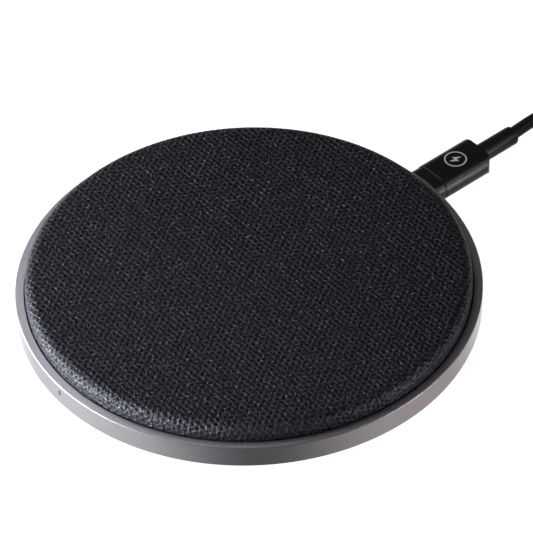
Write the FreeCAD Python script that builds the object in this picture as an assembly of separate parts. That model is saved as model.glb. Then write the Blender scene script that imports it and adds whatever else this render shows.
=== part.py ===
import FreeCAD, Part
import math
import os

# Round wireless charging pad with a detachable USB-C cable. One STEP file per piece.
#
# Millimetres, +Z up. The origin is the middle of the pad's footprint, on the surface it stands on.
# The cable's inlet faces +Y, and the status light faces -Y.

Vec = FreeCAD.Vector

# ---------------------------------------------------------------- driving dimensions: the pad
PAD_R = 50.0            # outside radius of the aluminium ring
RING_H = 5.55           # height of the ring
FOOT_H = 0.8            # how far the foot lifts the ring off the surface
PAD_H = 10.1            # height of the whole pad, foot included
LIP_IN_R = 48.2         # inner edge of the ring's flat lip
COVER_R = 47.85         # outside radius of the cloth-grain cover
CROWN_R = 2.2           # rounding of the cover's edge
COVER_T = 0.6           # thickness of the cover material
EDGE_CHAMFER = 0.18     # polished chamfer round the ring's upper edge
FOOT_CHAMFER = 0.55     # chamfer round the ring's lower edge
GAP = 0.05              # assembly gap between inner pieces

# ---------------------------------------------------------------- driving dimensions: the socket and plug
INLET_Z = FOOT_H + 2.5  # height of the socket's axis
SOCKET_W = 9.05         # outside width of the socket's shell
SOCKET_T = 3.2
SOCKET_WALL = 0.3
SOCKET_BACK_Y = 42.0
SOCKET_MOUTH_Y = 49.6
TONGUE_W = 6.7
TONGUE_T = 0.7
PLUG_TIP_Y = 43.5       # front end of the plug's metal tube
PLUG_TUBE_W = 8.25
PLUG_TUBE_T = 2.4
PLUG_TUBE_WALL = 0.25
COLLAR_Y = 50.15        # front face of the plug's collar, just clear of the ring
COLLAR_W = 9.75
COLLAR_T = 5.45
HOUSING_Y = 53.0        # seam between the collar and the housing
HOUSING_END_Y = 66.85
HOUSING_W = 10.05
HOUSING_T = 5.78
HOUSING_CORNER_R = 2.1
SLEEVE_END_Y = 77.4     # end of the strain relief sleeve
SLEEVE_D = 4.35
SLEEVE_END_R = 0.5      # rounding of the sleeve's end
CABLE_D = 2.95

# ---------------------------------------------------------------- driving dimensions: the coiled cable
COIL_X = 24.2           # middle of the coil
COIL_Y = 101.0
COIL_IN_R = 10.0        # innermost turn, at the middle of the cable
COIL_PITCH = 3.0        # step from one turn to the next
COIL_TURNS_IN = 4.4     # turns of the lower layer, wound inwards
COIL_TURNS_OUT = 4.53   # turns of the upper layer, wound outwards
TIE_T = 0.5             # thickness of the strap that ties the coil
TIE_W = 9.0
TIE_MARGIN = 0.35       # room between the strap and the cable it holds
TAIL_X = 51.6           # axis of the far plug, which points along -Y
TAIL_Y = 89.0           # where the cable enters the far plug's sleeve
FAR_SLEEVE = 8.0
FAR_HOUSING = (15.4, 7.0, 18.0)
FAR_TUBE = (12.0, 4.5, 11.8)

# ---------------------------------------------------------------- heights of the stack
RING_Z0 = FOOT_H
RING_Z1 = RING_Z0 + RING_H
FLANGE_Z0 = RING_Z0 + 0.75          # inner flange of the ring, clamped between base and carrier
FLANGE_Z1 = RING_Z0 + 1.65
FLANGE_IN_R = 45.6
BASE_Z1 = RING_Z0 + 1.6             # upper face of the base plate
FOOT_GROOVE_Z = RING_Z0 + 0.5
FOOT_IN_R = 35.0
FOOT_OUT_R = 41.5
BOARD_Z0 = 3.0
BOARD_T = 1.0
BOARD_TOP = BOARD_Z0 + BOARD_T
BOARD_R = 45.0
FERRITE_Z0 = 4.7
FERRITE_T = 0.8
FERRITE_R = 26.7
COIL_Z0 = FERRITE_Z0 + FERRITE_T
WIRE_D = 1.15
WINDING_TURNS = 10
WINDING_IN_R = 10.25
CARRIER_Z0 = 6.9
CARRIER_T = 1.2
CARRIER_R = COVER_R - COVER_T - GAP
SKIRT_IN_R = 45.8
FOAM_Z0 = CARRIER_Z0 + CARRIER_T
CASE_SCREW_R = 38.3
CASE_SCREW_ANGLES = (45, 135, 225, 315)
BOARD_SCREW_POINTS = ((31.0, 22.0), (-31.0, 22.0), (0.0, -33.5))
LIGHT_ANGLE = -2.4      # the status light's turn about +Z, from straight along -Y
LIGHT_Z = FOOT_H + 3.5

parts = {}


# ---------------------------------------------------------------- helpers
def disc(radius, z0, z1, x=0.0, y=0.0):
    """Upright cylinder from z0 to z1."""
    return Part.makeCylinder(radius, z1 - z0, Vec(x, y, z0))


def washer(outer, inner, z0, z1, x=0.0, y=0.0):
    """Upright cylinder with a hole."""
    return disc(outer, z0, z1, x, y).cut(disc(inner, z0 - 1, z1 + 1, x, y))


def box(size_x, size_y, size_z, x, y, z0):
    """Block centred on (x, y), standing on z0."""
    return Part.makeBox(size_x, size_y, size_z, Vec(x - size_x / 2, y - size_y / 2, z0))


def revolve(points):
    """Solid of revolution about Z from a closed (radius, z) outline. A point may be a 3-tuple,
    (radius, z, (mid_radius, mid_z)), which reaches it by an arc through the middle point."""
    edges = []
    here = points[-1][:2]
    for point in points:
        there = point[:2]
        start, end = Vec(here[0], 0, here[1]), Vec(there[0], 0, there[1])
        if len(point) == 3:
            middle = Vec(point[2][0], 0, point[2][1])
            edges.append(Part.Arc(start, middle, end).toShape())
        else:
            edges.append(Part.LineSegment(start, end).toShape())
        here = there
    face = Part.Face(Part.Wire(edges))
    return face.revolve(Vec(0, 0, 0), Vec(0, 0, 1), 360)


def stadium(width, height, y0, y1, x=0.0, z=INLET_Z):
    """Bar along Y with a flat oval section, wider in X than it is high."""
    radius = height / 2
    half = width / 2 - radius
    left, right = x - half, x + half
    edges = [
        Part.LineSegment(Vec(left, y0, z - radius), Vec(right, y0, z - radius)).toShape(),
        Part.Arc(Vec(right, y0, z - radius), Vec(right + radius, y0, z),
                 Vec(right, y0, z + radius)).toShape(),
        Part.LineSegment(Vec(right, y0, z + radius), Vec(left, y0, z + radius)).toShape(),
        Part.Arc(Vec(left, y0, z + radius), Vec(left - radius, y0, z), Vec(left, y0, z - radius)).toShape(),
    ]
    return Part.Face(Part.Wire(edges)).extrude(Vec(0, y1 - y0, 0))


def tube_along(points, diameter):
    """Round bar along straight runs joined by tangent arcs, with its length and radii printed."""
    edges = []
    radii = []
    here = points[0]
    for before, corner, after in zip(points, points[1:], points[2:]):
        into = (corner - before).normalize()
        out = (after - corner).normalize()
        turn = into.getAngle(out)
        shorter = min(corner.distanceToPoint(before), corner.distanceToPoint(after))
        cut = 0.45 * shorter
        radius = cut / math.tan(turn / 2)
        radii.append(round(radius, 1))
        start = corner - into * cut
        end = corner + out * cut
        inward = (out - into).normalize()
        middle = corner + inward * (radius / math.cos(turn / 2) - radius)
        edges.append(Part.LineSegment(here, start).toShape())
        edges.append(Part.Arc(start, middle, end).toShape())
        here = end
    edges.append(Part.LineSegment(here, points[-1]).toShape())
    path = Part.Wire(edges)
    direction = points[1] - points[0]
    circle = Part.Wire(Part.makeCircle(diameter / 2, points[0], direction))
    solid = path.makePipeShell([circle], True, False)
    print("tube", round(path.Length, 1), "mm long, arc radii", radii,
          "volume ratio", round(solid.Volume / (path.Length * math.pi * diameter ** 2 / 4), 4))
    return solid


def fillet_where(shape, radius, wanted):
    """Rounds the edges whose middle point the test accepts."""
    edges = [edge for edge in shape.Edges if wanted(edge.BoundBox.Center, edge)]
    return shape.makeFillet(radius, edges)


def chamfer_top(shape, size):
    """Bevels the edges of a block's upper face."""
    top = shape.BoundBox.ZMax
    edges = [edge for edge in shape.Edges if edge.BoundBox.ZMin > top - 1e-6]
    return shape.makeChamfer(size, edges)


def around(shape, angle):
    """The shape turned about the pad's own axis."""
    turned = shape.copy()
    turned.rotate(Vec(0, 0, 0), Vec(0, 0, 1), angle)
    return turned


def at_radius(radius, angle):
    """A point (x, y) on a circle round the pad's axis."""
    return radius * math.cos(math.radians(angle)), radius * math.sin(math.radians(angle))


def fuse(shapes):
    """One solid from pieces that touch or overlap."""
    return shapes[0].multiFuse(shapes[1:]).removeSplitter()


def screw(x, y, head_z0, head_z1, tip_z, head_r, shank_r):
    """Pan-head screw with a cross recess. The head is at the end that head_z1 gives."""
    up = head_z1 > tip_z
    head = disc(head_r, head_z0, head_z1, x, y)
    low, high = (tip_z, head_z0) if up else (head_z1, tip_z)
    shank = disc(shank_r, low, high, x, y)
    recess_z = head_z1 - 0.25 if up else head_z0
    slot_length, slot_width = head_r * 1.1, head_r * 0.25
    cross = box(slot_length, slot_width, 0.25, x, y, recess_z)
    cross = cross.fuse(box(slot_width, slot_length, 0.25, x, y, recess_z))
    return head.fuse(shank).removeSplitter().cut(cross)


# ---------------------------------------------------------------- casing
def status_slot(width, height, r0, r1):
    """Upright slot-shaped bar through the ring's wall at the status light."""
    bar = Part.makeBox(width, r1 - r0, height - width, Vec(-width / 2, -r1, LIGHT_Z - height / 2 + width / 2))
    for z in (LIGHT_Z - height / 2 + width / 2, LIGHT_Z + height / 2 - width / 2):
        bar = bar.fuse(Part.makeCylinder(width / 2, r1 - r0, Vec(0, -r0, z), Vec(0, -1, 0)))
    return around(bar.removeSplitter(), LIGHT_ANGLE)


def socket_opening(clearance):
    """Flat oval cut for the socket, from inside the board's edge to outside the ring."""
    return stadium(SOCKET_W + clearance, SOCKET_T + clearance, SOCKET_BACK_Y - 1, PAD_R + 1)


def make_ring():
    ring = revolve([
        (PAD_R - FOOT_CHAMFER, RING_Z0),
        (PAD_R, RING_Z0 + FOOT_CHAMFER),
        (PAD_R, RING_Z1 - EDGE_CHAMFER),
        (PAD_R - EDGE_CHAMFER, RING_Z1),
        (LIP_IN_R, RING_Z1),
        (LIP_IN_R, FLANGE_Z1),
        (FLANGE_IN_R, FLANGE_Z1),
        (FLANGE_IN_R, FLANGE_Z0),
        (PAD_R - 2.3, FLANGE_Z0),
        (PAD_R - 2.3, RING_Z0),
    ])
    return ring.cut(socket_opening(0.3)).cut(status_slot(0.6, 1.5, 46, PAD_R + 1))


def make_base_plate():
    plate = revolve([
        (0, RING_Z0),
        (PAD_R - 2.5, RING_Z0),
        (PAD_R - 2.5, FLANGE_Z0 - GAP),
        (FLANGE_IN_R - 0.2, FLANGE_Z0 - GAP),
        (FLANGE_IN_R - 0.2, BASE_Z1),
        (0, BASE_Z1),
    ])
    plate = plate.cut(washer(FOOT_OUT_R, FOOT_IN_R, RING_Z0 - 1, FOOT_GROOVE_Z))
    for x, y in BOARD_SCREW_POINTS:
        plate = plate.fuse(disc(2.2, BASE_Z1, BOARD_Z0, x, y))
        plate = plate.cut(disc(0.7, FOOT_GROOVE_Z + 0.3, BOARD_Z0 + 1, x, y))
    for angle in CASE_SCREW_ANGLES:
        x, y = at_radius(CASE_SCREW_R, angle)
        plate = plate.cut(disc(1.0, RING_Z0, BASE_Z1 + 1, x, y))
        plate = plate.cut(disc(1.9, RING_Z0, FOOT_GROOVE_Z + 0.55, x, y))
    pocket = box(SOCKET_W + 0.6, 8.0, 3.0, 0, SOCKET_BACK_Y + 3.7, INLET_Z - SOCKET_T / 2 - 0.12)
    return plate.cut(pocket).removeSplitter()


def make_foot():
    foot = washer(FOOT_OUT_R - GAP, FOOT_IN_R + GAP, 0, FOOT_GROOVE_Z)
    foot = fillet_where(foot, 0.3, lambda c, e: abs(e.BoundBox.ZMax) < 1e-6)
    for angle in CASE_SCREW_ANGLES:
        x, y = at_radius(CASE_SCREW_R, angle)
        foot = foot.cut(disc(1.9, FOOT_GROOVE_Z - 0.1, FOOT_GROOVE_Z + 1, x, y))
    return foot


def make_carrier():
    carrier = disc(CARRIER_R, CARRIER_Z0, FOAM_Z0)
    carrier = carrier.fuse(washer(CARRIER_R, SKIRT_IN_R, FLANGE_Z1 + GAP, CARRIER_Z0))
    carrier = carrier.fuse(washer(28.4, 27.4, FERRITE_Z0 + 0.4, CARRIER_Z0))
    for angle in CASE_SCREW_ANGLES:
        x, y = at_radius(CASE_SCREW_R, angle)
        carrier = carrier.fuse(disc(2.4, BASE_Z1 + GAP, CARRIER_Z0, x, y))
    carrier = carrier.removeSplitter()
    for angle in CASE_SCREW_ANGLES:
        x, y = at_radius(CASE_SCREW_R, angle)
        carrier = carrier.cut(disc(0.75, BASE_Z1, CARRIER_Z0, x, y))
    lead_gap = box(4, 12, 2.0, 28, -2.5, CARRIER_Z0 - 2.0)
    return carrier.cut(lead_gap).cut(socket_opening(0.3)).cut(status_slot(0.6, 1.5, 44, 49))


def make_foam():
    """Soft disc on the carrier, its edge rounded to lie inside the cover's bend."""
    bend_r, bend_z = COVER_R - CROWN_R, PAD_H - CROWN_R
    radius = CROWN_R - COVER_T - GAP
    low = math.asin((FOAM_Z0 - bend_z) / radius)
    half_way = (low + math.pi / 2) / 2
    return revolve([
        (0, FOAM_Z0),
        (bend_r + radius * math.cos(low), FOAM_Z0),
        (bend_r, bend_z + radius,
         (bend_r + radius * math.cos(half_way), bend_z + radius * math.sin(half_way))),
        (0, bend_z + radius),
    ])


def make_cover():
    hem_z = FLANGE_Z1 + 0.4
    inner_r = COVER_R - COVER_T
    crown_in_r = CROWN_R - COVER_T
    bend_r, bend_z = COVER_R - CROWN_R, PAD_H - CROWN_R
    half = math.sqrt(0.5)
    outer_mid = (bend_r + CROWN_R * half, bend_z + CROWN_R * half)
    inner_mid = (bend_r + crown_in_r * half, bend_z + crown_in_r * half)
    cover = revolve([
        (inner_r, hem_z),
        (COVER_R, hem_z),
        (COVER_R, bend_z),
        (bend_r, PAD_H, outer_mid),
        (0, PAD_H),
        (0, PAD_H - COVER_T),
        (bend_r, PAD_H - COVER_T),
        (inner_r, bend_z, inner_mid),
    ])
    return cover.cut(socket_opening(0.3)).cut(status_slot(0.6, 1.5, 46, 49))


parts["aluminium_ring"] = make_ring()
parts["base_plate"] = make_base_plate()
parts["foot_ring"] = make_foot()
parts["carrier_tray"] = make_carrier()
parts["foam_disc"] = make_foam()
parts["top_cover"] = make_cover()


# ---------------------------------------------------------------- charging coil and its shield
def make_winding():
    """Flat coil: ten turns side by side, each with a round back."""
    radius = WIRE_D / 2
    outline = [(WINDING_IN_R, COIL_Z0)]
    outline.append((WINDING_IN_R + WINDING_TURNS * WIRE_D, COIL_Z0))
    outline.append((WINDING_IN_R + WINDING_TURNS * WIRE_D, COIL_Z0 + radius))
    for turn in reversed(range(WINDING_TURNS)):
        left = WINDING_IN_R + turn * WIRE_D
        outline.append((left, COIL_Z0 + radius, (left + radius, COIL_Z0 + WIRE_D)))
    return revolve(outline)


def make_leads():
    """The winding's two ends, led out to the board. The inner one passes under the turns."""
    low = FERRITE_Z0 + 0.3
    board = BOARD_TOP + 0.45
    inner = [Vec(9.7, 0, 6.4), Vec(9.7, 0, low), Vec(29.6, 0, low), Vec(32.5, 0, board)]
    outer_r = WINDING_IN_R + WINDING_TURNS * WIRE_D + 0.5
    outer = [Vec(outer_r, -5, 6.1), Vec(27.0, -5, 6.0), Vec(30.2, -5, low), Vec(33.0, -5, board)]
    return Part.Compound([tube_along(inner, 0.85), tube_along(outer, 0.85)])


def make_thermistor():
    bead = Part.makeCylinder(0.9, 1.2, Vec(0, -0.6, 6.0), Vec(0, 1, 0))
    legs = [Part.makeCylinder(0.15, 6.0 - BOARD_TOP, Vec(0, side, BOARD_TOP)) for side in (-0.35, 0.35)]
    return fuse([bead] + legs)


winding_out_r = WINDING_IN_R + WINDING_TURNS * WIRE_D
ferrite = washer(FERRITE_R, 2.0, FERRITE_Z0, COIL_Z0)
ferrite = ferrite.cut(box(FERRITE_R, 1.6, 4, 8.0 + FERRITE_R / 2, 0, FERRITE_Z0 - 1))
parts["ferrite_disc"] = ferrite
parts["charging_coil"] = make_winding()
parts["coil_leads"] = make_leads()
parts["coil_tape"] = washer(winding_out_r, WINDING_IN_R, COIL_Z0 + WIRE_D, CARRIER_Z0)
parts["thermistor"] = make_thermistor()


# ---------------------------------------------------------------- circuit board and its components
def make_board():
    board = disc(BOARD_R, BOARD_Z0, BOARD_TOP)
    board = board.cut(box(SOCKET_W + 0.3, 10, 4, 0, SOCKET_BACK_Y + 4.9, BOARD_Z0 - 1))
    for angle in CASE_SCREW_ANGLES:
        x, y = at_radius(CASE_SCREW_R, angle)
        board = board.cut(disc(2.7, BOARD_Z0 - 1, BOARD_TOP + 1, x, y))
    for x, y in BOARD_SCREW_POINTS:
        board = board.cut(disc(0.95, BOARD_Z0 - 1, BOARD_TOP + 1, x, y))
    return board


def make_chip(size, height, x, y):
    """Flat square package with bevelled upper edges and one pad row showing round its foot."""
    foot = box(size + 0.3, size + 0.3, 0.12, x, y, BOARD_TOP)
    body = chamfer_top(box(size, size, height - 0.12, x, y, BOARD_TOP + 0.12), 0.15)
    return foot.fuse(body).removeSplitter()


def make_chip_capacitor(length, width, height, x, y, angle=0):
    """Block capacitor with a slightly larger metal cap at each end."""
    body = box(length - 0.6, width - 0.1, height - 0.1, 0, 0, 0.05)
    caps = [box(0.5, width, height, side * (length - 0.5) / 2, 0, 0) for side in (-1, 1)]
    piece = fuse([body] + caps)
    piece.rotate(Vec(0, 0, 0), Vec(0, 0, 1), angle)
    piece.translate(Vec(x, y, BOARD_TOP))
    return piece


def make_inductor(x, y):
    base = box(5.2, 5.2, 0.3, x, y, BOARD_TOP)
    core = fillet_where(box(5.0, 5.0, 1.7, x, y, BOARD_TOP + 0.3), 0.6,
                        lambda c, e: e.BoundBox.ZLength > 1.5)
    return base.fuse(chamfer_top(core, 0.2)).removeSplitter()


def make_crystal(x, y):
    base = box(3.2, 2.5, 0.3, x, y, BOARD_TOP)
    lid = fillet_where(box(2.8, 2.1, 0.5, x, y, BOARD_TOP + 0.3), 0.4,
                       lambda c, e: e.BoundBox.ZLength > 0.4)
    return base.fuse(lid).removeSplitter()


def make_status_light():
    """Side-firing light at the board's edge, facing the window."""
    body = Part.makeBox(1.6, 0.9, 0.9, Vec(-0.8, -44.3, BOARD_TOP))
    lens = Part.makeBox(1.1, 0.25, 0.7, Vec(-0.55, -44.55, BOARD_TOP + 0.1))
    return around(body.fuse(lens).removeSplitter(), LIGHT_ANGLE)


def make_light_pipe():
    """Clear bar from the light to the ring's outer face, with a small head inside."""
    head = status_slot(0.9, 1.8, 45.2, SKIRT_IN_R - GAP)
    bar = status_slot(0.5, 1.4, 45.2, PAD_R - 0.02)
    return head.fuse(bar).removeSplitter()


parts["circuit_board"] = make_board()
parts["control_chip"] = make_chip(5.0, 0.9, -12.0, 33.0)
parts["bridge_chips"] = Part.Compound([make_chip(4.0, 0.85, 14.0, 33.5), make_chip(4.0, 0.85, 35.5, 6.0)])
parts["resonant_capacitors"] = Part.Compound(
    [make_chip_capacitor(3.2, 2.5, 1.9, 36.0, y, 90) for y in (-7.0, -10.8, -14.6, -18.4)])
parts["input_capacitors"] = Part.Compound(
    [make_chip_capacitor(2.0, 1.25, 1.25, x, 37.5, 90) for x in (-7.6, 7.6, 9.8)])
parts["small_passives"] = Part.Compound(
    [make_chip_capacitor(1.6, 0.8, 0.5, -16.5 - 1.6 * i, 31.0 + 0.4 * (i % 2), 90) for i in range(6)]
    + [make_chip_capacitor(1.6, 0.8, 0.5, 4.0 + 2.1 * i, -38.5, 0) for i in range(4)])
parts["power_inductor"] = make_inductor(21.0, 33.0)
parts["clock_crystal"] = make_crystal(-12.0, 38.0)
parts["status_light"] = make_status_light()
parts["light_pipe"] = make_light_pipe()
parts["board_screws"] = Part.Compound(
    [screw(x, y, BOARD_TOP, BOARD_TOP + 0.7, FOOT_GROOVE_Z + 0.5, 1.6, 0.65) for x, y in BOARD_SCREW_POINTS])
parts["case_screws"] = Part.Compound(
    [screw(*at_radius(CASE_SCREW_R, angle),
           FOOT_GROOVE_Z + 0.02, FOOT_GROOVE_Z + 0.52, CARRIER_Z0 - 0.6, 1.7, 0.7)
     for angle in CASE_SCREW_ANGLES])


# ---------------------------------------------------------------- USB-C socket
def make_socket_shell():
    inner_w = SOCKET_W - 2 * SOCKET_WALL
    inner_t = SOCKET_T - 2 * SOCKET_WALL
    shell = stadium(SOCKET_W, SOCKET_T, SOCKET_BACK_Y, SOCKET_MOUTH_Y)
    shell = shell.cut(stadium(inner_w, inner_t, SOCKET_BACK_Y - 1, SOCKET_MOUTH_Y + 1))
    wing_x = SOCKET_W / 2 + 0.35
    wings = [box(1.3, 1.1, 0.3, side * wing_x, SOCKET_BACK_Y + 1.6, BOARD_TOP) for side in (-1, 1)]
    return fuse([shell] + wings)


def make_socket_core():
    """Plastic block that closes the socket's back, with the contact tongue."""
    inner_w = SOCKET_W - 2 * SOCKET_WALL
    inner_t = SOCKET_T - 2 * SOCKET_WALL
    back = stadium(inner_w, inner_t, SOCKET_BACK_Y, PLUG_TIP_Y - 0.2)
    tongue = box(TONGUE_W, 6.6, TONGUE_T, 0, SOCKET_BACK_Y + 3.3, INLET_Z - TONGUE_T / 2)
    tongue = fillet_where(tongue, 0.2, lambda c, e: c.y > SOCKET_BACK_Y + 6.5 and e.BoundBox.XLength > 5)
    return back.fuse(tongue).removeSplitter()


parts["socket_shell"] = make_socket_shell()
parts["socket_core"] = make_socket_core()


# ---------------------------------------------------------------- USB-C plug and its sleeve
def make_plug_tube():
    tube = stadium(PLUG_TUBE_W, PLUG_TUBE_T, PLUG_TIP_Y, COLLAR_Y + 2.4)
    bore_w = PLUG_TUBE_W - 2 * PLUG_TUBE_WALL
    bore_t = PLUG_TUBE_T - 2 * PLUG_TUBE_WALL
    return tube.cut(stadium(bore_w, bore_t, PLUG_TIP_Y - 1, COLLAR_Y + 3))


def make_plug_core():
    bore_w = PLUG_TUBE_W - 2 * PLUG_TUBE_WALL
    bore_t = PLUG_TUBE_T - 2 * PLUG_TUBE_WALL
    core = stadium(bore_w, bore_t, PLUG_TIP_Y + 0.15, COLLAR_Y + 2.4)
    slot_end = SOCKET_BACK_Y + 7.2
    slot_length = slot_end - PLUG_TIP_Y
    return core.cut(box(TONGUE_W + 0.25, slot_length, TONGUE_T + 0.25, 0, PLUG_TIP_Y + slot_length / 2,
                        INLET_Z - TONGUE_T / 2 - 0.125))


def make_collar():
    collar = stadium(COLLAR_W, COLLAR_T, COLLAR_Y, HOUSING_Y)
    collar = fillet_where(collar, 0.25, lambda c, e: e.BoundBox.YMax < COLLAR_Y + 1e-3)
    return collar.cut(stadium(PLUG_TUBE_W, PLUG_TUBE_T, COLLAR_Y - 1, COLLAR_Y + 2.4))


def make_housing():
    """Moulded grip: flat oval section, its rear corners rounded in plan and its edges softened."""
    body = stadium(HOUSING_W, HOUSING_T, HOUSING_Y, HOUSING_END_Y)
    corner = HOUSING_CORNER_R
    half = HOUSING_W / 2
    back = HOUSING_END_Y
    mid = corner * (1 - math.sqrt(0.5))
    plan = [
        Part.LineSegment(Vec(-half - 1, HOUSING_Y - 1, 0), Vec(half + 1, HOUSING_Y - 1, 0)).toShape(),
        Part.LineSegment(Vec(half + 1, HOUSING_Y - 1, 0), Vec(half + 1, back - corner, 0)).toShape(),
        Part.LineSegment(Vec(half + 1, back - corner, 0), Vec(half, back - corner, 0)).toShape(),
        Part.Arc(Vec(half, back - corner, 0), Vec(half - mid, back - mid, 0),
                 Vec(half - corner, back, 0)).toShape(),
        Part.LineSegment(Vec(half - corner, back, 0), Vec(corner - half, back, 0)).toShape(),
        Part.Arc(Vec(corner - half, back, 0), Vec(mid - half, back - mid, 0),
                 Vec(-half, back - corner, 0)).toShape(),
        Part.LineSegment(Vec(-half, back - corner, 0), Vec(-half - 1, back - corner, 0)).toShape(),
        Part.LineSegment(Vec(-half - 1, back - corner, 0), Vec(-half - 1, HOUSING_Y - 1, 0)).toShape(),
    ]
    body = body.common(Part.Face(Part.Wire(plan)).extrude(Vec(0, 0, 12)))
    body = fillet_where(body, 0.22, lambda c, e: e.BoundBox.YMax < HOUSING_Y + 1e-3)
    return body


def make_sleeve(x, y_root, y_tip, z):
    """Strain relief sleeve round the cable, with a rounded end. It runs from y_root to y_tip."""
    way = 1 if y_tip > y_root else -1
    sleeve = Part.makeCylinder(SLEEVE_D / 2, abs(y_tip - y_root), Vec(x, y_root, z), Vec(0, way, 0))
    return fillet_where(sleeve, SLEEVE_END_R, lambda c, e: abs(c.y - y_tip) < 1e-3)


parts["plug_tube"] = make_plug_tube()
parts["plug_core"] = make_plug_core()
parts["plug_collar"] = make_collar()
parts["plug_housing"] = make_housing()
parts["strain_relief"] = make_sleeve(0, HOUSING_END_Y, SLEEVE_END_Y, INLET_Z)


# ---------------------------------------------------------------- cable, its coil and its far plug
cable_r = CABLE_D / 2
coil_start_r = COIL_IN_R + COIL_PITCH * COIL_TURNS_IN
coil_end_r = COIL_IN_R + COIL_PITCH * COIL_TURNS_OUT
coil_outer_r = coil_end_r + cable_r + 0.1
coil_top = 2 * CABLE_D + TIE_T
far_axis_z = FAR_HOUSING[1] / 2

LEAD_ROUTE = [
    Vec(-0.1, SLEEVE_END_Y, INLET_Z + 0.1),
    Vec(-0.45, 84.8, 3.8),
    Vec(-0.3, 92.2, 2.4),
    Vec(0.7, 98.6, cable_r + 0.05),
]
TAIL_ROUTE = [
    Vec(COIL_X + 22.7, COIL_Y + 4.9, 1.5 * CABLE_D + 0.1),
    Vec(COIL_X + 24.9, COIL_Y + 0.9, 4.2),
    Vec(TAIL_X, COIL_Y - 5.4, far_axis_z),
    Vec(TAIL_X, TAIL_Y, far_axis_z),
]


def make_tie():
    """Strap round the bundle of turns, on the coil's +Y side."""
    inner = COIL_IN_R - cable_r - TIE_MARGIN
    outer = coil_outer_r + TIE_MARGIN
    depth = outer - inner + 2 * TIE_T
    height = coil_top + TIE_MARGIN + TIE_T
    y_mid = COIL_Y + (outer + inner) / 2
    strap = box(TIE_W, depth, height, COIL_X, y_mid, 0)
    window = box(TIE_W + 2, depth - 2 * TIE_T, height - 2 * TIE_T, COIL_X, y_mid, TIE_T)
    strap = fillet_where(strap, 1.5, lambda c, e: e.BoundBox.XLength > TIE_W - 1e-3)
    window = fillet_where(window, 1.0, lambda c, e: e.BoundBox.XLength > TIE_W)
    return strap.cut(window)


def make_coil(tie):
    """Closed outer shape of the wound cable, cut where the strap passes."""
    bundle = washer(coil_outer_r, COIL_IN_R - cable_r, 0, coil_top, COIL_X, COIL_Y)
    bundle = fillet_where(bundle, 1.2, lambda c, e: e.BoundBox.XLength > 1)
    return bundle.cut(tie)


def make_far_housing():
    width, height, length = FAR_HOUSING
    y0 = TAIL_Y - FAR_SLEEVE - length
    body = box(width, length, height, TAIL_X, y0 + length / 2, 0)
    body = fillet_where(body, 2.2, lambda c, e: e.BoundBox.ZLength > height - 0.1 and c.y > y0 + length - 1)
    body = fillet_where(body, 1.0, lambda c, e: e.BoundBox.YLength > length - 4)
    return body


def make_far_tube():
    width, height, length = FAR_TUBE
    y1 = TAIL_Y - FAR_SLEEVE - FAR_HOUSING[2]
    wall = 0.35
    tube = box(width, length, height, TAIL_X, y1 - length / 2, far_axis_z - height / 2)
    tube = fillet_where(tube, 0.5, lambda c, e: e.BoundBox.YLength > length - 0.1)
    bore = box(width - 2 * wall, length + 2, height - 2 * wall,
               TAIL_X, y1 - length / 2, far_axis_z - height / 2 + wall)
    tube = tube.cut(bore)
    for side in (-1, 1):
        tube = tube.cut(box(2.2, 2.2, height + 2, TAIL_X + side * 2.9, y1 - 6.4, far_axis_z - height / 2 - 1))
    return tube


def make_far_core():
    """Plastic tongue in the lower half of the far plug's tube."""
    width, height, length = FAR_TUBE
    y1 = TAIL_Y - FAR_SLEEVE - FAR_HOUSING[2]
    z0 = far_axis_z - height / 2 + 0.35
    return box(width - 0.7, length - 0.4, 1.9, TAIL_X, y1 - (length - 0.4) / 2, z0)


parts["cable_lead"] = tube_along(LEAD_ROUTE, CABLE_D)
parts["cable_tie"] = make_tie()
parts["cable_coil"] = make_coil(parts["cable_tie"])
parts["cable_tail"] = tube_along(TAIL_ROUTE, CABLE_D)
parts["far_strain_relief"] = make_sleeve(TAIL_X, TAIL_Y - FAR_SLEEVE, TAIL_Y, far_axis_z)
parts["far_plug_housing"] = make_far_housing()
parts["far_plug_tube"] = make_far_tube()
parts["far_plug_core"] = make_far_core()


# ---------------------------------------------------------------- write
os.makedirs("parts", exist_ok=True)
for name, shape in parts.items():
    if shape.ShapeType == "Compound" and len(shape.Solids) == 1:
        shape = shape.Solids[0]
    shape.exportStep("parts/" + name + ".step")
    print(name, shape.ShapeType, len(shape.Solids), "valid" if shape.isValid() else "NOT VALID",
          round(shape.Volume, 2))
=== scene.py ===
import math

import bmesh
import bpy
from mathutils import Matrix, Vector, noise


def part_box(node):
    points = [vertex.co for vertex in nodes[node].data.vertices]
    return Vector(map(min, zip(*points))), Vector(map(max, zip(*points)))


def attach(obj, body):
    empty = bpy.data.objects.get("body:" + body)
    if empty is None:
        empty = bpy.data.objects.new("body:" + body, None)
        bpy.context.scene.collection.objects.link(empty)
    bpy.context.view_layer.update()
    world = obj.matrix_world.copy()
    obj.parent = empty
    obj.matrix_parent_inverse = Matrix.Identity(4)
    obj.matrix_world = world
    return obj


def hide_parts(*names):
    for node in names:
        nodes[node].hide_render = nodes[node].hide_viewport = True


# The looks of a round wireless charging pad: satin aluminium ring, black cloth-grain cover,
# USB-C plug, and its cable with the spare length coiled out of view. Metres, +Z up, inlet on +Y.

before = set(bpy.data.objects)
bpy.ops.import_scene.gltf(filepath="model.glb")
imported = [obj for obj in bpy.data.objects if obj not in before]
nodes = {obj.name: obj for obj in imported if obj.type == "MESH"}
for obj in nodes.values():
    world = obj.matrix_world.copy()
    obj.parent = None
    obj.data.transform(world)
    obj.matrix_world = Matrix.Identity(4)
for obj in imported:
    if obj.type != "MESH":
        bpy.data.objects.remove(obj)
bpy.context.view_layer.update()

MM = 0.001
PAD_BODY = "pad"
LEAD_BODY = "lead"


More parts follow.
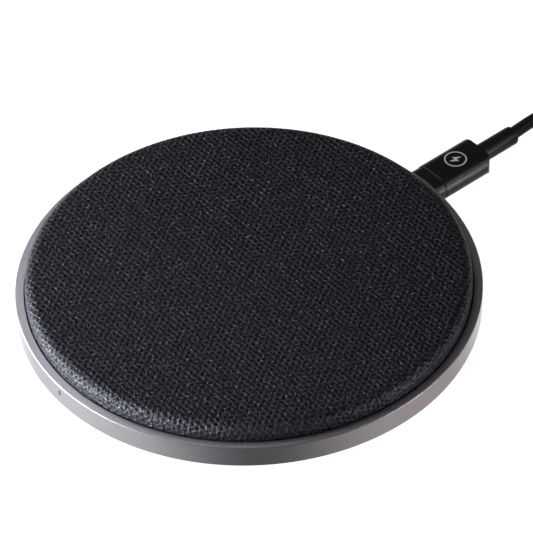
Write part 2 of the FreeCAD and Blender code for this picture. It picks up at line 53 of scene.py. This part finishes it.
# ---------------------------------------------------------------- sizes read from the frame
ring_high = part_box("aluminium_ring")[1]
cover_low, cover_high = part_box("top_cover")
housing_low, housing_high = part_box("plug_housing")


# ---------------------------------------------------------------- helpers: shapes
def ease(share):
    """Smooth step from 0 to 1."""
    return share * share * (3 - 2 * share)


def new_object(name, shape, body):
    """Links a mesh or curve as a piece that rides on a body."""
    piece = bpy.data.objects.new(name, shape)
    bpy.context.scene.collection.objects.link(piece)
    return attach(piece, body)


def smooth_by_angle(piece, degrees):
    """Smooth shading, with edges sharper than the angle kept crisp."""
    mesh = piece.data
    mesh.shade_smooth()
    mesh.set_sharp_from_angle(angle=math.radians(degrees))


# ---------------------------------------------------------------- helpers: materials
class Nodes:
    """Short calls that add nodes to a node tree."""

    def __init__(self, tree):
        self.tree = tree

    def node(self, kind, inputs=(), **settings):
        made = self.tree.nodes.new(kind)
        for key, value in settings.items():
            setattr(made, key, value)
        for key, value in dict(inputs).items():
            self.feed(made.inputs[key], value)
        return made

    def feed(self, socket, value):
        if isinstance(value, bpy.types.NodeSocket):
            self.tree.links.new(value, socket)
        else:
            socket.default_value = value

    def math(self, operation, first, second=0.0):
        made = self.node("ShaderNodeMath", operation=operation)
        self.feed(made.inputs[0], first)
        self.feed(made.inputs[1], second)
        return made.outputs[0]

    def vector(self, operation, first, second):
        return self.node("ShaderNodeVectorMath", {0: first, 1: second}, operation=operation).outputs[0]

    def scaled(self, vector, factor):
        return self.node("ShaderNodeVectorMath", {0: vector, "Scale": factor}, operation="SCALE").outputs[0]

    def ramp(self, value, low, high, low_out, high_out):
        """Straight line from (low, low_out) to (high, high_out), held level beyond both."""
        ends = {"Value": value, "From Min": low, "From Max": high, "To Min": low_out, "To Max": high_out}
        return self.node("ShaderNodeMapRange", ends).outputs["Result"]

    def mix(self, factor, first, second):
        made = self.node("ShaderNodeMix", data_type="RGBA")
        self.feed(made.inputs["Factor"], factor)
        colours = [socket for socket in made.inputs if socket.type == "RGBA"]
        self.feed(colours[0], first)
        self.feed(colours[1], second)
        return [socket for socket in made.outputs if socket.type == "RGBA"][0]


class Shader(Nodes):
    """A material with a Principled shader, and the patterns that its sockets take."""

    def __init__(self, name):
        self.material = bpy.data.materials.new(name)
        self.material.use_nodes = True
        super().__init__(self.material.node_tree)
        self.principled = self.tree.nodes["Principled BSDF"]

    def place(self):
        """The point in the object's own frame, in metres."""
        return self.node("ShaderNodeTexCoord").outputs["Object"]

    def noise(self, scale, detail=2.0, roughness=0.5, stretch=None):
        vector = self.place()
        if stretch is not None:
            vector = self.node("ShaderNodeMapping", {"Vector": vector, "Scale": stretch}).outputs["Vector"]
        settings = {"Vector": vector, "Scale": scale, "Detail": detail, "Roughness": roughness}
        return self.node("ShaderNodeTexNoise", settings).outputs["Fac"]

    def bump(self, height, distance):
        return self.node("ShaderNodeBump", {"Height": height, "Distance": distance}).outputs["Normal"]

    def set(self, **sockets):
        """Principled sockets by name, with underscores for spaces."""
        for key, value in sockets.items():
            self.feed(self.principled.inputs[key.replace("_", " ")], value)
        return self.material


def grey(value, red=1.0, green=1.0, blue=1.0):
    return (value * red, value * green, value * blue, 1.0)


# ---------------------------------------------------------------- materials
PIT_DRIFT = 0.3             # how far the painted pits stray, in pits
# the pit colour below: painted shade, near black where the grain's hollows fall in shade
PIT_SHADE_BLACK = (0.0024, 0.0025, 0.0031, 1.0)
THREAD_DARK = (0.0020, 0.0021, 0.0027, 1.0)
THREAD_LIGHT = (0.0180, 0.0186, 0.0240, 1.0)
# the speck colour below: painted glints, bright dots that stand for light caught by single threads
PAINTED_GLINT = (0.21, 0.21, 0.23, 1.0)
STRAP_ROW = 0.6 * MM


def grain_net(s):
    """The cover's grain, from places counted in pits: 0 in a pit, and 1 on the net between the pits."""
    place = s.node("ShaderNodeUVMap", uv_map="cloth").outputs["UV"]
    wobble = s.node("ShaderNodeTexNoise", {"Vector": place, "Scale": 1.3, "Detail": 2.0}).outputs["Color"]
    drift = s.scaled(s.vector("SUBTRACT", wobble, (0.5, 0.5, 0.5)), PIT_DRIFT)
    axes = s.node("ShaderNodeSeparateXYZ", {0: s.vector("ADD", place, drift)})
    u = s.math("MULTIPLY", axes.outputs["X"], 2 * math.pi)
    v = s.math("MULTIPLY", axes.outputs["Y"], 2 * math.pi)
    straight = s.math("ADD", s.math("COSINE", u), s.math("COSINE", v))
    total = s.math("ADD", straight, s.math("COSINE", s.math("ADD", u, v)))
    ends = {"Value": total, "From Min": 2.2, "From Max": -0.8}
    return s.node("ShaderNodeMapRange", ends, interpolation_type="SMOOTHSTEP").outputs["Result"]


def cloth_grain():
    """Black leatherette pressed with a cloth grain: a net of satin strands, its pits painted near black and
    duller as painted shade.
    """
    s = Shader("cloth_grain")
    flat_place = s.vector("MULTIPLY", s.place(), (1.0, 1.0, 0.0))
    reach = s.node("ShaderNodeVectorMath", {0: flat_place}, operation="LENGTH").outputs["Value"]
    stretch = s.ramp(reach, cover_high.x - 1.6 * MM, cover_high.x, 0.0, 0.3)
    net = s.math("MAXIMUM", grain_net(s), stretch)
    strand = s.ramp(s.noise(1900.0, 2.0, 0.6), 0.36, 0.66, 0.0, 1.0)
    on_flat = s.ramp(reach, cover_high.x - 3.0 * MM, cover_high.x - 1.0 * MM, 1.0, 0.0)
    # bright specks on the flat net: painted glints in the base colour, kept off the crown
    glint_mask = s.math("MULTIPLY", s.ramp(s.noise(1700.0, 0.0), 0.69, 0.78, 0.0, 1.0), on_flat)
    thread = s.mix(strand, THREAD_DARK, THREAD_LIGHT)
    lit = s.mix(s.math("MULTIPLY", glint_mask, net), thread, PAINTED_GLINT)
    patch = s.ramp(s.noise(45.0, 3.0), 0.3, 0.7, 0.85, 1.15)
    net_shine = s.ramp(net, 0.0, 1.0, 0.52, 1.0)
    strand_shine = s.ramp(strand, 0.0, 1.0, 0.20, 0.86)
    # the pits are painted near black as painted shade in the hollows, and their reflection level is lowered
    # as painted shade too
    return s.set(Base_Color=s.scaled(s.mix(net, PIT_SHADE_BLACK, lit), patch),
                 Roughness=s.ramp(strand, 0.0, 1.0, 0.62, 0.40),
                 Specular_IOR_Level=s.math("MULTIPLY", net_shine, strand_shine),
                 Specular_Tint=(0.87, 0.87, 1.0, 1.0), IOR=1.5,
                 Normal=s.bump(s.math("ADD", net, strand), 0.12 * MM))


def blasted_aluminium(name, low_rough, high_rough):
    """Bead-blasted aluminium with fine grain."""
    s = Shader(name)
    grain = s.noise(3000.0, 3.0, 0.8)
    cloud = s.ramp(s.noise(70.0, 3.0), 0.35, 0.65, 0.0, 0.04)
    tone = s.math("ADD", s.ramp(grain, 0.25, 0.75, 0.46, 0.62), cloud)
    return s.set(Base_Color=s.scaled((1.01, 0.985, 1.04), tone), Metallic=1.0,
                 Roughness=s.ramp(grain, 0.3, 0.7, low_rough, high_rough), Normal=s.bump(grain, 0.03 * MM))


def polished_edge():
    """Bright cut metal on the ring's bevel."""
    s = Shader("polished_edge")
    streak = s.noise(900.0, 2.0, 0.5, stretch=(1.0, 1.0, 12.0))
    return s.set(Base_Color=grey(0.42, 1.0, 0.98, 1.02), Metallic=1.0,
                 Roughness=s.ramp(streak, 0.3, 0.7, 0.35, 0.43))


def moulded_plastic(name, value, low_rough, high_rough, grain_mm=0.006):
    """Moulded plastic with a faint spark texture."""
    s = Shader(name)
    grain = s.noise(2600.0, 2.0, 0.6)
    cloud = s.ramp(s.noise(90.0, 2.0), 0.3, 0.7, 0.85, 1.15)
    return s.set(Base_Color=s.scaled(grey(value, 1.0, 0.98, 1.02)[:3], cloud),
                 Roughness=s.ramp(grain, 0.3, 0.7, low_rough, high_rough),
                 Normal=s.bump(grain, grain_mm * MM))


def cable_jacket():
    """Black satin jacket with fine grain."""
    s = Shader("cable_jacket")
    grain = s.noise(1800.0, 2.0, 0.5)
    tone = s.ramp(s.noise(160.0, 2.0), 0.3, 0.7, 0.85, 1.2)
    return s.set(Base_Color=s.scaled((0.014, 0.0135, 0.0145), tone),
                 Roughness=s.ramp(grain, 0.3, 0.7, 0.40, 0.52), Normal=s.bump(grain, 0.006 * MM))


def plain_metal(name, colour, low_rough, high_rough):
    """Plated metal with fine streaks."""
    s = Shader(name)
    streak = s.noise(1500.0, 2.0, 0.5, stretch=(1.0, 0.15, 1.0))
    return s.set(Base_Color=colour, Metallic=1.0, Roughness=s.ramp(streak, 0.3, 0.7, low_rough, high_rough))


def rough_surface(name, colour, rough, scale, bump_mm):
    """Matt material with grain: ferrite, foam, tape, ceramic, silicone."""
    s = Shader(name)
    grain = s.noise(scale, 3.0, 0.6)
    dark = tuple(channel * 0.8 for channel in colour[:3]) + (1.0,)
    tint = s.mix(s.ramp(grain, 0.3, 0.7, 0.0, 1.0), dark, colour)
    return s.set(Base_Color=tint, Roughness=rough, Normal=s.bump(grain, bump_mm * MM))


def strap_weave():
    """Hook-and-loop strap: fine fuzzy rows."""
    s = Shader("strap_weave")
    axes = s.node("ShaderNodeSeparateXYZ", {0: s.place()})
    rows = s.math("SINE", s.math("MULTIPLY", axes.outputs["Y"], 2 * math.pi / STRAP_ROW))
    columns = s.math("SINE", s.math("MULTIPLY", axes.outputs["X"], 2 * math.pi / STRAP_ROW))
    fuzz = s.noise(4200.0, 2.0, 0.7)
    height = s.math("ADD", s.math("MULTIPLY", rows, columns), fuzz)
    return s.set(Base_Color=s.mix(fuzz, grey(0.008), grey(0.03)), Roughness=0.85, Sheen_Weight=0.3,
                 Normal=s.bump(height, 0.05 * MM))


def printed_mark():
    """Pale pad-printed ink."""
    s = Shader("printed_mark")
    wear = s.ramp(s.noise(2200.0, 3.0, 0.6), 0.3, 0.8, 0.0, 1.0)
    return s.set(Base_Color=s.mix(wear, grey(0.80), grey(0.95)), Roughness=0.55)


def smoked_window():
    """Dark clear plastic."""
    s = Shader("smoked_window")
    haze = s.noise(1200.0, 2.0)
    return s.set(Base_Color=grey(0.03, 0.95, 1.0, 1.1), Roughness=s.ramp(haze, 0.3, 0.7, 0.10, 0.18))


def solder_mask():
    """Green board lacquer over faint tracks."""
    s = Shader("solder_mask")
    bricks = s.node("ShaderNodeTexBrick", {"Vector": s.place(), "Scale": 260.0, "Mortar Size": 0.012})
    tracks = bricks.outputs["Fac"]
    tint = s.mix(tracks, (0.008, 0.075, 0.03, 1.0), (0.014, 0.12, 0.05, 1.0))
    return s.set(Base_Color=tint, Roughness=0.32, Normal=s.bump(tracks, 0.02 * MM))


def paint_nodes():
    """Materials for the CAD nodes that show as they are."""
    black_moulding = moulded_plastic("plug_black", 0.013, 0.30, 0.40)
    casing = moulded_plastic("casing_black", 0.016, 0.45, 0.58, 0.012)
    carrier = moulded_plastic("carrier_grey", 0.05, 0.45, 0.55)
    chip = moulded_plastic("chip_black", 0.012, 0.35, 0.45)
    steel = plain_metal("bright_steel", grey(0.62), 0.22, 0.34)
    nickel = plain_metal("nickel_plate", grey(0.68, 1.0, 0.98, 0.95), 0.16, 0.26)
    copper = plain_metal("enamelled_copper", (0.72, 0.30, 0.14, 1.0), 0.24, 0.34)
    ferrite = rough_surface("ferrite_grey", grey(0.035), 0.7, 2500.0, 0.02)
    ceramic = rough_surface("ceramic_tan", (0.36, 0.25, 0.14, 1.0), 0.4, 2000.0, 0.005)
    painted = {
        "base_plate": casing, "carrier_tray": carrier,
        "foot_ring": rough_surface("foot_silicone", grey(0.018), 0.62, 1800.0, 0.02),
        "foam_disc": rough_surface("foam_grey", grey(0.22), 0.95, 1500.0, 0.15),
        "ferrite_disc": ferrite, "power_inductor": ferrite,
        "charging_coil": copper, "coil_leads": copper,
        "coil_tape": rough_surface("tape_cream", (0.55, 0.48, 0.34, 1.0), 0.5, 900.0, 0.01),
        "thermistor": chip, "control_chip": chip, "bridge_chips": chip,
        "circuit_board": solder_mask(),
        "resonant_capacitors": ceramic, "input_capacitors": ceramic, "small_passives": ceramic,
        "clock_crystal": steel, "board_screws": steel, "case_screws": steel,
        "status_light": rough_surface("lamp_white", grey(0.7), 0.4, 1500.0, 0.005),
        "light_pipe": smoked_window(),
        "socket_shell": nickel, "plug_tube": nickel, "far_plug_tube": nickel,
        "socket_core": casing, "plug_core": casing,
        "plug_collar": black_moulding, "plug_housing": black_moulding, "far_plug_housing": black_moulding,
        "strain_relief": moulded_plastic("sleeve_black", 0.013, 0.36, 0.46),
        "far_plug_core": rough_surface("contact_white", grey(0.62), 0.45, 1500.0, 0.005),
        "cable_tie": strap_weave(),
    }
    painted["far_strain_relief"] = painted["strain_relief"]
    for name, material in painted.items():
        mesh = nodes[name].data
        mesh.materials.clear()
        mesh.materials.append(material)
        smooth_by_angle(nodes[name], 30)


# ---------------------------------------------------------------- cable
CABLE_D = 2.95 * MM
COIL_CENTRE = Vector((24.2, 101.0)) * MM
COIL_IN_R = 10.0 * MM
COIL_PITCH = 3.0 * MM
TURNS_IN = 4.4              # lower layer, wound inwards
TURNS_UP = 0.5              # climb to the upper layer on the innermost turn
TURNS_OUT = 4.53            # upper layer, wound outwards
POINTS_PER_TURN = 16
TIE_THICKNESS = 0.5 * MM
TIE_LIFT_SPAN = math.radians(42)

LEAD_ROUTE = [(-0.1, 77.4, 3.4), (-0.45, 84.8, 3.8), (-0.3, 92.2, 2.4)]
TAIL_ROUTE = [(49.1, 101.9, 4.2), (51.6, 95.6, 3.5), (51.6, 89.0, 3.5)]


def coil_turns():
    """Points of the wound turns: in along the floor, up at the middle, out on top, and over the strap."""
    radius = CABLE_D / 2
    total = TURNS_IN + TURNS_UP + TURNS_OUT
    count = round(total * POINTS_PER_TURN)
    points = []
    for step in range(count + 1):
        turn = total * step / count
        if turn < TURNS_IN:
            spread, level = TURNS_IN - turn, 0.0
        elif turn < TURNS_IN + TURNS_UP:
            spread, level = 0.0, ease((turn - TURNS_IN) / TURNS_UP)
        else:
            spread, level = turn - TURNS_IN - TURNS_UP, 1.0
        angle = math.pi - 2 * math.pi * turn
        off_tie = math.remainder(angle - math.pi / 2, 2 * math.pi) / TIE_LIFT_SPAN
        lift = TIE_THICKNESS * math.exp(-off_tie * off_tie)
        reach = COIL_IN_R + COIL_PITCH * spread
        x = COIL_CENTRE.x + reach * math.cos(angle)
        y = COIL_CENTRE.y + reach * math.sin(angle)
        points.append((x, y, radius + level * CABLE_D + lift))
    return points


def cable_curve(route):
    """A smooth round tube that follows the points."""
    curve = bpy.data.curves.new("cable", "CURVE")
    curve.dimensions = "3D"
    spline = curve.splines.new("NURBS")
    spline.points.add(len(route) - 1)
    for point, place in zip(spline.points, route):
        point.co = (*place, 1.0)
    spline.order_u = 3
    spline.use_endpoint_u = True
    spline.resolution_u = 6
    curve.bevel_depth = CABLE_D / 2
    curve.bevel_resolution = 6
    curve.use_fill_caps = True
    return curve


def make_cable():
    """One cable: out of the sleeve, down to the floor, round the coil, and on to the far plug."""
    lead = [tuple(value * MM for value in point) for point in LEAD_ROUTE]
    tail = [tuple(value * MM for value in point) for point in TAIL_ROUTE]
    route = lead + coil_turns() + tail
    curve = cable_curve(route)
    piece = bpy.data.objects.new("cable", curve)
    bpy.context.scene.collection.objects.link(piece)
    curve.materials.append(cable_jacket())
    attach(piece, LEAD_BODY)
    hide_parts("cable_lead", "cable_coil", "cable_tail")


# ---------------------------------------------------------------- cover
CROWN_R = 2.2 * MM
COVER_T = 0.6 * MM
PIT_X = 1.42 * MM           # from pit to pit along a row
PIT_Y = 1.163 * MM          # from row to row, each row set half a step on
PIT_DEPTH = 0.075 * MM
CELL_STEPS = 4              # mesh steps from one pit to the next
WANDER = 0.09 * MM          # how far the pits stray from an even grid
WANDER_SEED = 5


def cover_profile(reach):
    """(radius, height, normal) on the cover's outside, at a distance along it from the middle."""
    flat = cover_high.x - CROWN_R
    bend = CROWN_R * math.pi / 2
    if reach <= flat:
        return reach, cover_high.z, (0.0, 1.0)
    if reach >= flat + bend:
        return cover_high.x, cover_high.z - CROWN_R - (reach - flat - bend), (1.0, 0.0)
    turn = (reach - flat) / CROWN_R
    normal = (math.sin(turn), math.cos(turn))
    return flat + CROWN_R * normal[0], cover_high.z - CROWN_R + CROWN_R * normal[1], normal


def pit_level(u, v):
    """1 in the middle of a pit and 0 on the net between the pits, from places counted in pits."""
    total = math.cos(2 * math.pi * u) + math.cos(2 * math.pi * v) + math.cos(2 * math.pi * (u + v))
    return ease(min(1.0, max(0.0, (total + 0.5) / 3.5)))


def cloth_point(u, v, whole):
    """Where a point of the flat cloth lies on the cover, and whether it is past the cloth's edge."""
    x, y = PIT_X * (u + v / 2), PIT_Y * v
    if math.hypot(x, y) < whole - 1.0 * MM:
        stray = noise.noise_vector(Vector((x, y, 0.0)) / (2.2 * MM)) * WANDER
        x, y = x + stray.x, y + stray.y
    reach = math.hypot(x, y)
    radius, height, normal = cover_profile(min(reach, whole))
    uneven = noise.noise(Vector((x, y, 0.0)) / (0.6 * MM)) * 0.25
    sink = PIT_DEPTH * min(1.0, max(0.0, pit_level(u, v) + uneven)) * (1.0 - 0.4 * normal[0])
    if reach > whole - 0.5 * MM:
        sink = 0.0
    radius -= sink * normal[0]
    scale = radius / max(reach, 1e-9)
    return (x * scale, y * scale, height - sink * normal[1]), reach > whole


def cloth_row(j, extent):
    """The grid numbers of a row's points, so that the row just reaches a circle of that radius."""
    v = j / CELL_STEPS
    half = math.sqrt(max(0.0, extent ** 2 - (PIT_Y * v) ** 2)) / PIT_X
    first = math.ceil((-half - v / 2) * CELL_STEPS)
    last = math.floor((half - v / 2) * CELL_STEPS)
    return range(first, last + 1)


def make_cloth_mesh():
    """One round patch of grained cloth, its edge rolled down, on a triangle grid in step with the pits."""
    noise.seed_set(WANDER_SEED)
    whole = cover_high.x - CROWN_R + CROWN_R * math.pi / 2 + (cover_high.z - CROWN_R - cover_low.z)
    extent = whole + 1.1 * PIT_X / CELL_STEPS
    rows = math.ceil(extent / PIT_Y * CELL_STEPS)
    points, past, places, numbers = [], [], [], {}
    for j in range(-rows, rows + 1):
        for i in cloth_row(j, extent):
            u, v = i / CELL_STEPS, j / CELL_STEPS
            point, outside = cloth_point(u, v, whole)
            numbers[i, j] = len(points)
            points.append(point)
            past.append(outside)
            places.append((u, v))
    faces = []
    for i, j in numbers:
        for corners in (((i, j), (i + 1, j), (i, j + 1)), ((i + 1, j), (i + 1, j + 1), (i, j + 1))):
            found = [numbers.get(corner) for corner in corners]
            if None not in found and not all(past[number] for number in found):
                faces.append(found)
    mesh = bpy.data.meshes.new("cover")
    mesh.from_pydata(points, [], faces)
    layer = mesh.uv_layers.new(name="cloth")
    for loop in mesh.loops:
        layer.data[loop.index].uv = places[loop.vertex_index]
    return mesh


def close_underside(mesh):
    """Gives the rolled cloth its thickness: in under the edge, up inside, and across."""
    built = bmesh.new()
    built.from_mesh(mesh)
    bmesh.ops.delete(built, geom=[vert for vert in built.verts if not vert.link_faces], context="VERTS")
    inner = cover_high.x - COVER_T
    steps = [
        (inner, cover_low.z),
        (inner, cover_high.z - CROWN_R),
        (inner - 1.5 * MM, cover_high.z - COVER_T),
    ]
    rim = [edge for edge in built.edges if edge.is_boundary]
    for radius, height in steps:
        made = bmesh.ops.extrude_edge_only(built, edges=rim)["geom"]
        for vert in (item for item in made if isinstance(item, bmesh.types.BMVert)):
            scale = radius / math.hypot(vert.co.x, vert.co.y)
            vert.co = (vert.co.x * scale, vert.co.y * scale, height)
        rim = [item for item in made if isinstance(item, bmesh.types.BMEdge) and item.is_boundary]
    bmesh.ops.contextual_create(built, geom=rim)
    bmesh.ops.recalc_face_normals(built, faces=built.faces)
    built.to_mesh(mesh)
    built.free()


def make_cover():
    """The padded top: its grained skin, closed underneath."""
    mesh = make_cloth_mesh()
    close_underside(mesh)
    mesh.shade_smooth()
    mesh.materials.append(cloth_grain())
    piece = new_object("cover", mesh, PAD_BODY)
    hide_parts("top_cover")


# ---------------------------------------------------------------- plug
MARK_Y = 60.0 * MM
MARK_R = 2.55 * MM
MARK_LINE = 0.34 * MM
MARK_LIFT = 0.015 * MM
MARK_STEPS = 64
# a plain lightning bolt, in mark radii: across the plug, and along it
BOLT = [(0.12, 0.62), (-0.40, -0.08), (-0.06, -0.08), (-0.12, -0.62), (0.40, 0.08), (0.06, 0.08)]


def mark_point(across, along):
    """A point just off the housing's flat oval top, from distances to the mark's middle."""
    side = (housing_high.z - housing_low.z) / 2
    past_flat = max(0.0, abs(across) - (housing_high.x - side))
    drop = side - math.sqrt(side * side - past_flat * past_flat)
    return across, MARK_Y + along, housing_high.z + MARK_LIFT - drop


def make_mark():
    """A printed ring with a lightning bolt in it, on the plug's top face."""
    points = []
    for step in range(MARK_STEPS):
        turn = 2 * math.pi * step / MARK_STEPS
        for radius in (MARK_R, MARK_R - MARK_LINE):
            points.append(mark_point(radius * math.cos(turn), radius * math.sin(turn)))
    faces = []
    for step in range(MARK_STEPS):
        outer, after = 2 * step, 2 * ((step + 1) % MARK_STEPS)
        faces.append((outer, after, after + 1, outer + 1))
    first = len(points)
    points += [mark_point(across * MARK_R, along * MARK_R) for across, along in BOLT]
    faces.append([first + corner for corner in (0, 1, 2, 5)])
    faces.append([first + corner for corner in (2, 3, 4, 5)])
    mesh = bpy.data.meshes.new("plug_mark")
    mesh.from_pydata(points, [], faces)
    mesh.materials.append(printed_mark())
    new_object("plug_mark", mesh, LEAD_BODY)


# ---------------------------------------------------------------- ring
RIM_IN = 0.5 * MM           # the wall and the bevel lie within this of the ring's outside
BEVEL_DOWN = 0.4 * MM       # and the bevel within this of its top
BEVEL_LEAN = math.radians(5)


def paint_ring():
    """Blasted metal, smoother on the wall, with the bevel round the upper edge left bright."""
    mesh = nodes["aluminium_ring"].data
    mesh.materials.clear()
    mesh.materials.append(blasted_aluminium("blasted_aluminium", 0.44, 0.54))
    mesh.materials.append(polished_edge())
    mesh.materials.append(blasted_aluminium("satin_aluminium", 0.27, 0.34))
    for face in mesh.polygons:
        if math.hypot(face.center.x, face.center.y) < ring_high.x - RIM_IN:
            continue
        if 0.3 < face.normal.z < 0.95 and face.center.z > ring_high.z - BEVEL_DOWN:
            face.material_index = 1
        elif abs(face.normal.z) < 0.3:
            face.material_index = 2
    shade_as_turned(mesh)


def shade_as_turned(mesh):
    """Exact normals for a turned part, so that its triangles don't show. The bevel's edges are softened."""
    mesh.shade_smooth()
    normals = []
    for face in mesh.polygons:
        outward = Vector((face.center.x, face.center.y, 0.0)).normalized()
        radial = face.normal.dot(outward)
        turned = math.hypot(radial, face.normal.z) > 0.999
        for index in face.vertices:
            place = mesh.vertices[index].co
            tilt = math.atan2(face.normal.z, radial)
            if face.material_index == 1:
                tilt += BEVEL_LEAN if place.z > face.center.z else -BEVEL_LEAN
            around = Vector((place.x, place.y, 0.0)).normalized() * math.cos(tilt)
            normals.append(around + Vector((0.0, 0.0, math.sin(tilt))) if turned else face.normal)
    mesh.normals_split_custom_set(normals)


# ---------------------------------------------------------------- stage
AIM = Vector((-2.26, 6.87, 5.0)) * MM
CAMERA_DISTANCE = 0.8016
CAMERA_AZIMUTH = 50.70
CAMERA_ELEVATION = 42.61
CAMERA_ROLL = -1.78
CAMERA_LENS = 251.57


def direction(azimuth, elevation):
    """Unit vector from the object towards a viewer at that azimuth and elevation, in degrees."""
    turn, rise = math.radians(azimuth), math.radians(elevation)
    return Vector((math.sin(turn) * math.cos(rise), -math.cos(turn) * math.cos(rise), math.sin(rise)))


def facing(position, target, roll=0.0):
    """World matrix of a thing at position whose -Z axis points at target."""
    back = (position - target).normalized()
    right = Vector((0, 0, 1)).cross(back).normalized()
    up = back.cross(right)
    turned = Matrix((right, up, back)).transposed().to_4x4() @ Matrix.Rotation(math.radians(roll), 4, "Z")
    return Matrix.Translation(position) @ turned


def make_camera():
    lens = bpy.data.cameras.new("camera")
    lens.lens = CAMERA_LENS
    lens.sensor_width = 36.0
    lens.clip_start = 0.01
    camera = bpy.data.objects.new("camera", lens)
    bpy.context.scene.collection.objects.link(camera)
    position = AIM + direction(CAMERA_AZIMUTH, CAMERA_ELEVATION) * CAMERA_DISTANCE
    camera.matrix_world = facing(position, AIM, CAMERA_ROLL)
    bpy.context.scene.camera = camera


def make_floor():
    """White ground for the camera alone: it glows, so that no shadow shows on it, and it lights nothing."""
    half = 3.0
    mesh = bpy.data.meshes.new("floor")
    corners = [(-half, -half, 0), (half, -half, 0), (half, half, 0), (-half, half, 0)]
    mesh.from_pydata(corners, [], [(0, 1, 2, 3)])
    floor = bpy.data.objects.new("floor", mesh)
    bpy.context.scene.collection.objects.link(floor)
    s = Shader("floor_white")
    mesh.materials.append(s.set(Base_Color=grey(0.35), Roughness=0.9, Emission_Color=grey(1.0),
                                Emission_Strength=1.0))
    floor.visible_glossy = False
    floor.visible_diffuse = False
    floor.visible_shadow = False


# ---------------------------------------------------------------- stage: surroundings
ROOM = 0.019                # the room's share of GLOW_STRENGTH
GLOW_STRENGTH = 1.4
GLOW_TOP = 0.10             # the glow fades between these heights on the unit sphere
GLOW_FULL = -0.25
# the surroundings below the horizon: azimuth (the camera is at 51), brightness, and how reddish
GLOW = [
    (-180, 0.36, 1.08), (-150, 0.90, 1.00), (-109, 0.94, 1.00), (-88, 0.40, 1.00), (-45, 0.44, 1.00),
    (-9, 0.43, 1.00), (11, 0.28, 1.00), (31, 0.10, 1.00), (51, 0.045, 1.00), (71, 0.085, 1.04),
    (95, 0.24, 1.08), (115, 0.30, 1.10), (150, 0.28, 1.12), (170, 0.25, 1.12), (180, 0.36, 1.08),
]


def set_glow_stops(ramp):
    """One stop for each row of GLOW, from azimuth -180 to 180."""
    stops = ramp.elements
    while len(stops) > 1:
        stops.remove(stops[-1])
    stops[0].position = 0.0
    stops[0].color = grey(GLOW[0][1], GLOW[0][2])
    for azimuth, strength, red in GLOW[1:]:
        stops.new((azimuth + 180) / 360).color = grey(strength, red)


def make_world():
    """Dim room, and below the horizon the glow that the pad's wall picks up, different on each side."""
    world = bpy.data.worlds.new("studio")
    bpy.context.scene.world = world
    world.use_nodes = True
    s = Nodes(world.node_tree)
    axes = s.node("ShaderNodeSeparateXYZ", {0: s.node("ShaderNodeTexCoord").outputs["Generated"]})
    azimuth = s.math("ARCTAN2", axes.outputs["X"], s.math("MULTIPLY", axes.outputs["Y"], -1.0))
    glow = s.node("ShaderNodeValToRGB", {"Fac": s.ramp(azimuth, -math.pi, math.pi, 0.0, 1.0)})
    set_glow_stops(glow.color_ramp)
    below = s.ramp(axes.outputs["Z"], GLOW_TOP, GLOW_FULL, 0.0, 1.0)
    backdrop = s.tree.nodes["Background"]
    s.feed(backdrop.inputs["Color"], s.mix(below, grey(ROOM), glow.outputs["Color"]))
    s.feed(backdrop.inputs["Strength"], GLOW_STRENGTH)


# ---------------------------------------------------------------- stage: lights
LIGHT_TARGET = Vector((0, 0, 0.005))
NEAR, MIDDLE, FAR = 0.20, 0.60, 1.20            # distances from the pad
SMALL, WIDE = (0.06, 0.10), (0.30, 0.16)        # widths and heights of the soft boxes
SPOT, LARGE = (0.20, 0.20), (0.50, 0.50)
WHITE = (1.0, 1.0, 1.0)
COOL = (0.94, 0.95, 1.0)
COOLER = (0.93, 0.96, 1.0)
PINK = (1.0, 0.92, 0.97)
FAINT_PINK = (1.0, 0.94, 0.98)


def add_light(name, azimuth, elevation, distance, size, power, colour=WHITE):
    """Soft box that faces the pad's middle."""
    lamp = bpy.data.lights.new(name, "AREA")
    lamp.shape = "RECTANGLE"
    lamp.size, lamp.size_y = size
    lamp.energy = power
    lamp.color = colour
    light = bpy.data.objects.new(name, lamp)
    bpy.context.scene.collection.objects.link(light)
    light.matrix_world = facing(LIGHT_TARGET + direction(azimuth, elevation) * distance, LIGHT_TARGET)
    light.visible_camera = False


def make_lights():
    """In azimuths, the camera is at 51, the view's left at -39 and its right at 141."""
    add_light("key", -75, 40, NEAR, SMALL, 0.10, COOL)
    add_light("top", -39, 50, NEAR, SMALL, 0.056, COOL)
    add_light("over", -100, 70, NEAR, SMALL, 0.018, COOL)
    add_light("left", -25, 0, MIDDLE, WIDE, 11.4, COOLER)
    add_light("left_back", -50, 0, MIDDLE, WIDE, 4.6, COOLER)
    add_light("right", 121, 0, MIDDLE, WIDE, 1.95, PINK)
    add_light("soft_left", -84, 54, FAR, LARGE, 0.54, COOL)
    add_light("soft_front", 51, 48, FAR, LARGE, 0.18)
    add_light("soft_side", 124, 29, FAR, SPOT, 0.90, FAINT_PINK)
    add_light("soft_right", 141, 18, FAR, LARGE, 0.14)


def make_stage():
    bpy.context.scene.view_settings.view_transform = "Standard"
    make_floor()
    make_world()
    make_lights()


# ---------------------------------------------------------------- build
make_camera()
make_cable()
paint_nodes()
paint_ring()
make_cover()
make_mark()
make_stage()
